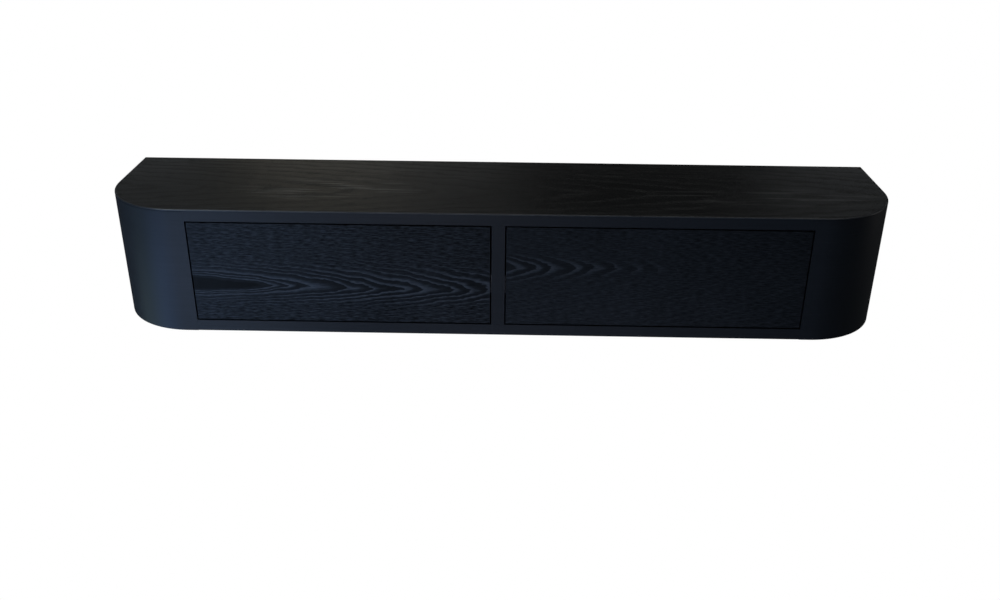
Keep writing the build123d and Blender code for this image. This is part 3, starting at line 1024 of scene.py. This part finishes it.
def turned(graph, profile, section):
    """A solid along +Z: (distance, radius) points, with the section drawn at radius 1."""
    distance = by_number(graph, [place for place, radius in profile])
    placed = graph.node(
        "GeometryNodeSetPosition",
        {},
        {
            "Geometry": line_of(graph, (0.0, 0.0, 0.0), (0.0, 0.0, 1.0), len(profile)),
            "Position": point_of(graph, 0.0, 0.0, distance),
        },
    )
    return swept(graph, placed, section, Scale=by_number(graph, [radius for place, radius in profile]))


def scattered(graph, seeds, shape):
    """One shape at each seed point, its +Z along the point's direction, each turned at random."""
    direction = graph.node(
        "GeometryNodeInputNamedAttribute",
        {"data_type": "FLOAT_VECTOR"},
        {"Name": "direction"},
    )
    facing = graph.node("FunctionNodeAlignRotationToVector", {"axis": "Z"}, {"Vector": direction})
    angle = graph.node("FunctionNodeRandomValue", {}, {"Max_001": 2 * math.pi, "Seed": 5})
    about_z = {"Axis": (0.0, 0.0, 1.0), "Angle": angle}
    spin = graph.node("FunctionNodeAxisAngleToRotation", {}, about_z)
    rotation = graph.node("FunctionNodeRotateRotation", {"rotation_space": "LOCAL"}, [facing, spin])
    placed = {"Points": seeds, "Instance": shape, "Rotation": rotation}
    return graph.node("GeometryNodeInstanceOnPoints", {}, placed)


print("turning and scattering ready")


# %% [markdown]
# ## Screws
#
# The model has a screw wherever two boards are held, as a plain turned solid. Each solid is one
# island of a node's mesh. Its corners, measured from its axis, are its outline, so the real screw
# is made from the same head, shank and length, with a cross recess and a thread added.


# %% Read the model's screws
def groups_of(work):
    """The vertices of each separate solid."""
    waiting = set(work.verts)
    while waiting:
        group = [waiting.pop()]
        for vertex in group:
            near = {edge.other_vert(vertex) for edge in vertex.link_edges} & waiting
            waiting -= near
            group += near
        yield group


def centre_of(points):
    return tuple(round(value, 4) for value in sum(points, Vector()) / len(points))


def islands(node):
    """The points of each separate solid of a node, in the order of their places."""
    work = merged_copy(node)
    found = [[vertex.co.copy() for vertex in group] for group in groups_of(work)]
    work.free()
    return sorted(found, key=centre_of)


def read_screw(points):
    """(head place, direction, (length, head radius, shank radius, depth of the head's rim))."""
    low, high = box_of(points)
    size = high - low
    axis = max(range(3), key=lambda k: size[k])
    middle = (low + high) / 2

    def reach(point):
        across = point - middle
        across[axis] = 0.0
        return across.length

    widest = max(reach(p) for p in points)
    wide = [p[axis] for p in points if reach(p) > 0.97 * widest]
    at_low = sum(wide) / len(wide) < middle[axis]
    start = low[axis] if at_low else high[axis]
    rim = max(abs(value - start) for value in wide)
    length = size[axis]
    thin = [reach(p) for p in points if abs(p[axis] - start) > length / 2 and reach(p) > 0.1 * MM]
    place = middle.copy()
    place[axis] = start
    direction = Vector()
    direction[axis] = 1.0 if at_low else -1.0
    kind = tuple(round(value, 5) for value in (length, widest, max(thin), rim))
    return place, direction, kind


def seeds_at(name, places, directions):
    """A mesh of loose points with a direction stored in each."""
    mesh = bpy.data.meshes.new(name)
    mesh.from_pydata([tuple(place) for place in places], [], [])
    attribute = mesh.attributes.new("direction", "FLOAT_VECTOR", "POINT")
    attribute.data.foreach_set("vector", [value for direction in directions for value in direction])
    return mesh


# %% The screw's tree
SCREW_SIDES = 20
THREAD_STEPS = 12


def wound(graph, radius, turns, height, steps, wire):
    """A wire's section carried round and up a coil, with a number of steps to each turn."""
    coil = graph.node(
        "GeometryNodeCurveSpiral",
        {},
        {
            "Resolution": steps,
            "Rotations": turns,
            "Start Radius": radius,
            "End Radius": radius,
            "Height": height,
        },
    )
    return swept(graph, coil, wire)


def cross_recess(graph, radius):
    """Two tapered wings that a driver fits, for the boolean to cut out."""
    taper = {"Vertices": 4, "Radius Bottom": 1.0, "Radius Top": 0.45, "Depth": radius * 0.75}
    square = moved(graph, graph.node("GeometryNodeMeshCone", {}, taper), Rotation=(0.0, 0.0, math.pi / 4))
    narrow = point_of(graph, radius * 0.92, radius * 0.2, 1.0)
    sunk = (0.0, 0.0, -0.02 * MM)
    return [
        moved(graph, square, Translation=sunk, Rotation=(0.0, 0.0, turn), Scale=narrow)
        for turn in (0.0, math.pi / 2)
    ]


def screw_tree(finish, pan):
    """A wood screw. A pan head is a dome with a flat underside; the other is a countersunk cone."""
    graph, given = new_tree("screw", ("Length", "Head Radius", "Shank Radius", "Rim", "Pitch"))
    length, head, shank = given.out("Length"), given.out("Head Radius"), given.out("Shank Radius")
    rim = given.out("Rim")
    if pan:
        under = rim + 0.02 * MM
        top = [(0.0, head * 0.62), (rim * 0.12, head * 0.8), (rim * 0.35, head * 0.94), (rim * 0.6, head)]
    else:
        under = rim + head - shank
        top = [(0.0, head * 0.97), (rim * 0.3, head)]
    tip = [(length - shank * 2.2, shank), (length, 0.02 * MM)]
    body = turned(graph, [*top, (rim, head), (under, shank), *tip], circle_of(graph, SCREW_SIDES, 1.0))
    recessed = graph.node("GeometryNodeMeshBoolean", {"solver": "EXACT"}, {"Mesh 1": body})
    for wing in cross_recess(graph, head):
        graph.tree.links.new(wing.socket, recessed.node.inputs["Mesh 2"])
    threaded = length * 0.62
    ridge = circle_of(graph, 3, shank * 0.22)
    thread = wound(graph, shank, threaded / given.out("Pitch"), threaded, THREAD_STEPS, ridge)
    lowered = moved(graph, thread, Translation=point_of(graph, 0.0, 0.0, length * 0.3))
    both = graph.node("GeometryNodeJoinGeometry")
    graph.tree.links.new(recessed.socket, both.node.inputs[0])
    graph.tree.links.new(lowered.socket, both.node.inputs[0])
    return end_tree(graph, scattered(graph, given.out("Geometry"), both), finish)


# %% Grow every screw
SCREW_NODES = ("back_screws", "rail_screws", "latch_screws", "left_drawer_screws", "right_drawer_screws")
countersunk = screw_tree(zinc, pan=False)
pan_head = screw_tree(zinc, pan=True)
for node in SCREW_NODES:
    kinds = {}
    for points in islands(node):
        place, direction, kind = read_screw(points)
        kinds.setdefault(kind, []).append((place, direction))
    for number, (kind, screws) in enumerate(sorted(kinds.items())):
        length, head, shank, rim = kind
        tree = pan_head if rim > 1.9 * MM else countersunk
        sizes = {
            "Length": length,
            "Head Radius": head,
            "Shank Radius": shank,
            "Rim": rim,
            "Pitch": shank * 1.1,
        }
        seeds = seeds_at(node, *zip(*screws))
        piece = grown(f"{node}_{number + 1}", tree, sizes, seeds)
        settle(piece, node)
        print(piece.name, tree.name, len(screws), "screws of", round(length / MM, 1), "mm")

# %% [markdown]
# ## Dowels
#
# Beech dowels line up the boards. Their flutes let glue and air escape, and their ends are
# chamfered so that they start easily. A star with rounded radii is the fluted section.


# %% Grow the dowels
FLUTES = 16


def dowel_tree(finish):
    graph, given = new_tree("dowel", ("Length", "Radius", "Chamfer"))
    star = graph.node(
        "GeometryNodeCurveStar",
        {},
        {"Points": FLUTES, "Inner Radius": 0.93, "Outer Radius": 1.0},
    )
    length, radius, chamfer = given.out("Length"), given.out("Radius"), given.out("Chamfer")
    profile = [
        (0.0, radius - chamfer),
        (chamfer, radius),
        (length - chamfer, radius),
        (length, radius - chamfer),
    ]
    return end_tree(graph, scattered(graph, given.out("Geometry"), turned(graph, profile, star)), finish)


dowel_boxes = [box_of(points) for points in islands("dowels")]
feet = [((low.x + high.x) / 2, (low.y + high.y) / 2, low.z) for low, high in dowel_boxes]
seeds = seeds_at("dowels", feet, [(0.0, 0.0, 1.0)] * len(feet))
dowel_size = dowel_boxes[0][1] - dowel_boxes[0][0]
dowels = grown(
    "fluted_dowels",
    dowel_tree(beech),
    {"Length": dowel_size.z, "Radius": dowel_size.x / 2, "Chamfer": 1.0 * MM},
    seeds,
)
board_grain(dowels.data)
settle(dowels, "dowels")
print("dowels:", len(feet))

# %% [markdown]
# ## Balls and their cages
#
# Each runner rolls on two bent cages of steel balls. The cages are copies of the model's, and the
# balls are grown on points at the middles of the model's balls, small and round with few faces.


# %% Grow the balls
def ball_tree(finish):
    graph, given = new_tree("balls", ("Radius",))
    ball = graph.node("GeometryNodeMeshIcoSphere", {}, {"Radius": given.out("Radius"), "Subdivisions": 3})
    placed = {"Points": given.out("Geometry"), "Instance": ball}
    return end_tree(graph, graph.node("GeometryNodeInstanceOnPoints", {}, placed), finish)


def keep_islands(node, name, wanted):
    """A merged copy of the solids of a node whose points pass a test."""
    work = merged_copy(node)
    unwanted = []
    for group in groups_of(work):
        if not wanted([vertex.co for vertex in group]):
            unwanted += group
    bmesh.ops.delete(work, geom=unwanted, context="VERTS")
    return new_object(name, mesh_from(work, name))


def is_ball(points):
    low, high = box_of(points)
    return max(high - low) < 5 * MM


balls = ball_tree(ball_steel)
for node in (f"{side}_{row}_ball_cages" for side in ("left", "right") for row in ("outer", "inner")):
    ball_boxes = [box_of(points) for points in islands(node) if is_ball(points)]
    middles = [(low + high) / 2 for low, high in ball_boxes]
    radius = (ball_boxes[0][1].y - ball_boxes[0][0].y) / 2
    seeds = seeds_at(node, middles, [(0.0, 0.0, 1.0)] * len(middles))
    piece = grown(f"{node}_balls", balls, {"Radius": radius}, seeds)
    settle(piece, node)
    cage = keep_islands(node, f"{node}_strips", lambda points: not is_ball(points))
    cage.data.materials.append(cage_steel)
    settle(cage, node)
    print(node, len(middles), "balls of", round(2 * radius / MM, 1), "mm")

# %% [markdown]
# ## Springs
#
# A push latch holds a coil spring in a blind bore. A spiral curve with a round section is exactly
# that, with flat ends like cut wire. One end rests in the bore and the other against the plunger. The
# coils are made in place at rest and are not attached to either body.


# %% Grow the springs
WIRE = 0.35 * MM
TURNS = 8
WIRE_SIDES = 8
COIL_STEPS = 24


def spring_tree(finish):
    graph, given = new_tree("spring", ("Coil Radius", "Wire Radius", "Turns", "Length"))
    wire = circle_of(graph, WIRE_SIDES, given.out("Wire Radius"))
    coil_radius, turns, length = given.out("Coil Radius"), given.out("Turns"), given.out("Length")
    spring = wound(graph, coil_radius, turns, length, COIL_STEPS, wire)
    return end_tree(graph, scattered(graph, given.out("Geometry"), spring), finish)


springs = spring_tree(zinc)
for node in ("left_latch_springs", "right_latch_springs"):
    spring_boxes = [box_of(points) for points in islands(node)]
    starts = [((low.x + high.x) / 2, low.y + WIRE, (low.z + high.z) / 2) for low, high in spring_boxes]
    low, high = spring_boxes[0]
    sizes = {
        "Coil Radius": (high.x - low.x) / 2 - WIRE,
        "Wire Radius": WIRE,
        "Turns": TURNS,
        "Length": high.y - low.y - 2 * WIRE,
    }
    seeds = seeds_at(node, starts, [(0.0, 1.0, 0.0)] * len(starts))
    piece = grown(f"{node}_wound", springs, sizes, seeds)
    body_of(node)
    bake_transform(piece)
    slot_of(node)
    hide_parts(node)

# %% [markdown]
# ## Latches and runners
#
# The latch housings are moulded, so their corners are round. The pressed steel rails already have
# their bends, so they stay as the model's own and only take a finish.


# %% Finish the hardware
def paint(node, finish):
    """Gives a model node a finish without touching its mesh."""
    for place in frame["nodes"][node].material_slots:
        place.material = finish


for side in ("left", "right"):
    soften(f"{side}_latch_housings", 0.6 * MM, latch_plastic)
    paint(f"{side}_latch_plungers", plunger_plastic)
    paint(f"{side}_latch_pads", soft_rubber)
    for place in ("left", "right"):
        paint(f"{side}_bay_{place}_cabinet_rail", runner_zinc)
        paint(f"{side}_bay_{place}_middle_rail", runner_zinc)
        paint(f"{side}_drawer_{place}_rail", runner_zinc)
print("hardware finished")

# %% [markdown]
# ## Floor and light
#
# The floor is a plain white sheet that curves up behind, as in a studio, so that no horizon shows.
# It glows evenly by itself and gives no light to the cabinet, because a bright floor would turn
# black oak grey. Soft panels do the lighting. Cool window light comes from the left, both straight
# on and thrown back by the floor. A dim wall behind gives the top its sheen, and a ceiling fills the
# drawers. The panels near the floor light the underside of things, as a real pale floor does. Sky
# light is bluest where it comes from the open sky, and warmer after a wall has thrown it back.


# %% Floor
FLOOR_STEPS = 48
FLOOR_SECTION = ((9.0, 0.0), (10.5, 0.3), (12.0, 1.2), (13.0, 2.8), (13.5, 5.0), (13.5, 14.0))


def white_sheet():
    material, graph = new_finish("white_sheet")
    glow = graph.node("ShaderNodeEmission", {}, {"Color": (1.0, 1.0, 1.0, 1.0), "Strength": 1.0})
    graph.node("ShaderNodeOutputMaterial", {}, {"Surface": glow})
    return material


def studio_floor():
    """A dish: flat for nine metres, then curving up. Each section point is a (radius, height)."""
    vertices = [(0.0, 0.0, -MM)]
    for radius, height in FLOOR_SECTION:
        for step in range(FLOOR_STEPS):
            turn = 2 * math.pi * step / FLOOR_STEPS
            vertices.append((radius * math.cos(turn), radius * math.sin(turn), height - MM))
    faces = []
    for here in range(FLOOR_STEPS):
        there = (here + 1) % FLOOR_STEPS
        faces.append((0, 1 + here, 1 + there))
        for ring in range(1, len(FLOOR_SECTION)):
            outer = 1 + ring * FLOOR_STEPS
            inner = outer - FLOOR_STEPS
            faces.append((inner + here, outer + here, outer + there, inner + there))
    mesh = bpy.data.meshes.new("floor")
    mesh.from_pydata(vertices, [], faces)
    mesh.materials.append(white_sheet())
    floor = new_object("floor", mesh)
    floor.visible_diffuse = False
    floor.visible_glossy = False
    floor.visible_shadow = False
    floor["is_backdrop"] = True
    return floor


print("floor:", len(studio_floor().data.polygons), "faces")


# %% Lights
def panel(name, place, target, size, power, colour):
    """A soft rectangular light at a place, facing a target."""
    data = bpy.data.lights.new(name, "AREA")
    data.shape = "RECTANGLE"
    data.size, data.size_y = size
    data.energy = power
    data.color = colour
    light = bpy.data.objects.new(name, data)
    bpy.context.scene.collection.objects.link(light)
    light.location = place
    light.rotation_euler = (Vector(target) - Vector(place)).to_track_quat("-Z", "Y").to_euler()
    light.visible_camera = False


TWILIGHT = (0.3, 0.5, 1.0)
DEEP_SKY = (0.4, 0.6, 1.0)
SKY = (0.6, 0.75, 1.0)
SKY_ON_FLOOR = (0.75, 0.8, 1.0)
HIGH_SKY = (0.75, 0.9, 1.0)
PALE_DAY = (0.9, 0.95, 1.0)
GARDEN = (0.7, 1.0, 0.95)
WARM_WALL = (1.0, 0.95, 0.8)
LAMP = (1.0, 0.97, 0.93)
WHITE = (1.0, 1.0, 1.0)
ROOM_STRENGTH = 0.045
MIDDLE = (0.0, -0.1, 0.15)
LEFT_FRONT = (-0.6, -0.18, 0.15)
WIDE = (1.0, 0.8)
SMALL = (0.5, 0.5)
panel("floor_bounce", (-0.41, -2.31, -0.35), MIDDLE, WIDE, 6.1, SKY_ON_FLOOR)
panel("floor_bounce_right", (0.80, -2.21, -0.35), MIDDLE, WIDE, 1.6, DEEP_SKY)
panel("side_bounce", (-2.14, -0.38, -0.86), MIDDLE, WIDE, 3.0, GARDEN)
panel("window_far", (-1.5, -0.8, -0.4), LEFT_FRONT, SMALL, 4.0, TWILIGHT)
panel("window_low", (-1.0, -1.1, -0.4), LEFT_FRONT, SMALL, 2.6, SKY)
panel("window_near", (-1.0, -0.8, 0.1), LEFT_FRONT, SMALL, 1.6, DEEP_SKY)
panel("floor_glow", (0.2, -0.33, -0.22), (0.2, -0.18, 0.0), (0.9, 0.08), 0.36, SKY_ON_FLOOR)
panel("room_right", (2.4, 0.1, 0.1), (0.9, -0.1, 0.15), (0.6, 0.6), 0.6, LAMP)
panel("room_back", (0.3, 2.4, -0.35), (0.0, 0.18, 0.15), (1.6, 0.8), 9.0, LAMP)
panel("window_high", (-1.8, -1.2, 2.4), (-0.7, -0.18, 0.3), (0.6, 0.6), 13.0, HIGH_SKY)
for x, power, colour in (
    (-1.8, 0.8, PALE_DAY),
    (-0.9, 1.3, WARM_WALL),
    (-0.3, 0.6, WHITE),
    (1.6, 0.65, PALE_DAY),
):
    panel("wall_glow", (x, 2.3, 0.7), (0.4 * x, 0.0, 0.3), (0.7, 0.5), power, colour)
for x in (-1.5, 0.0, 1.5):
    panel("ceiling", (x, 0.0, 2.8), (x, 0.0, 0.3), (1.2, 1.2), 4.0, WHITE)
world = bpy.data.worlds.new("room")
bpy.context.scene.world = world
world.use_nodes = True
background = world.node_tree.nodes["Background"]
background.inputs["Color"].default_value = (*PALE_DAY, 1.0)
background.inputs["Strength"].default_value = ROOM_STRENGTH
bpy.context.scene.view_settings.view_transform = "Standard"

# %% Measure the boxes and finish
visual_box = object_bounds()
boxes = {"cad": [list(corner) for corner in cad_box], "visual": [list(corner) for corner in visual_box]}
steps = [abs(a - b) for cad, seen in zip(boxes["cad"], boxes["visual"]) for a, b in zip(cad, seen)]
print("largest difference between the boxes:", round(max(steps) / MM, 3), "mm")
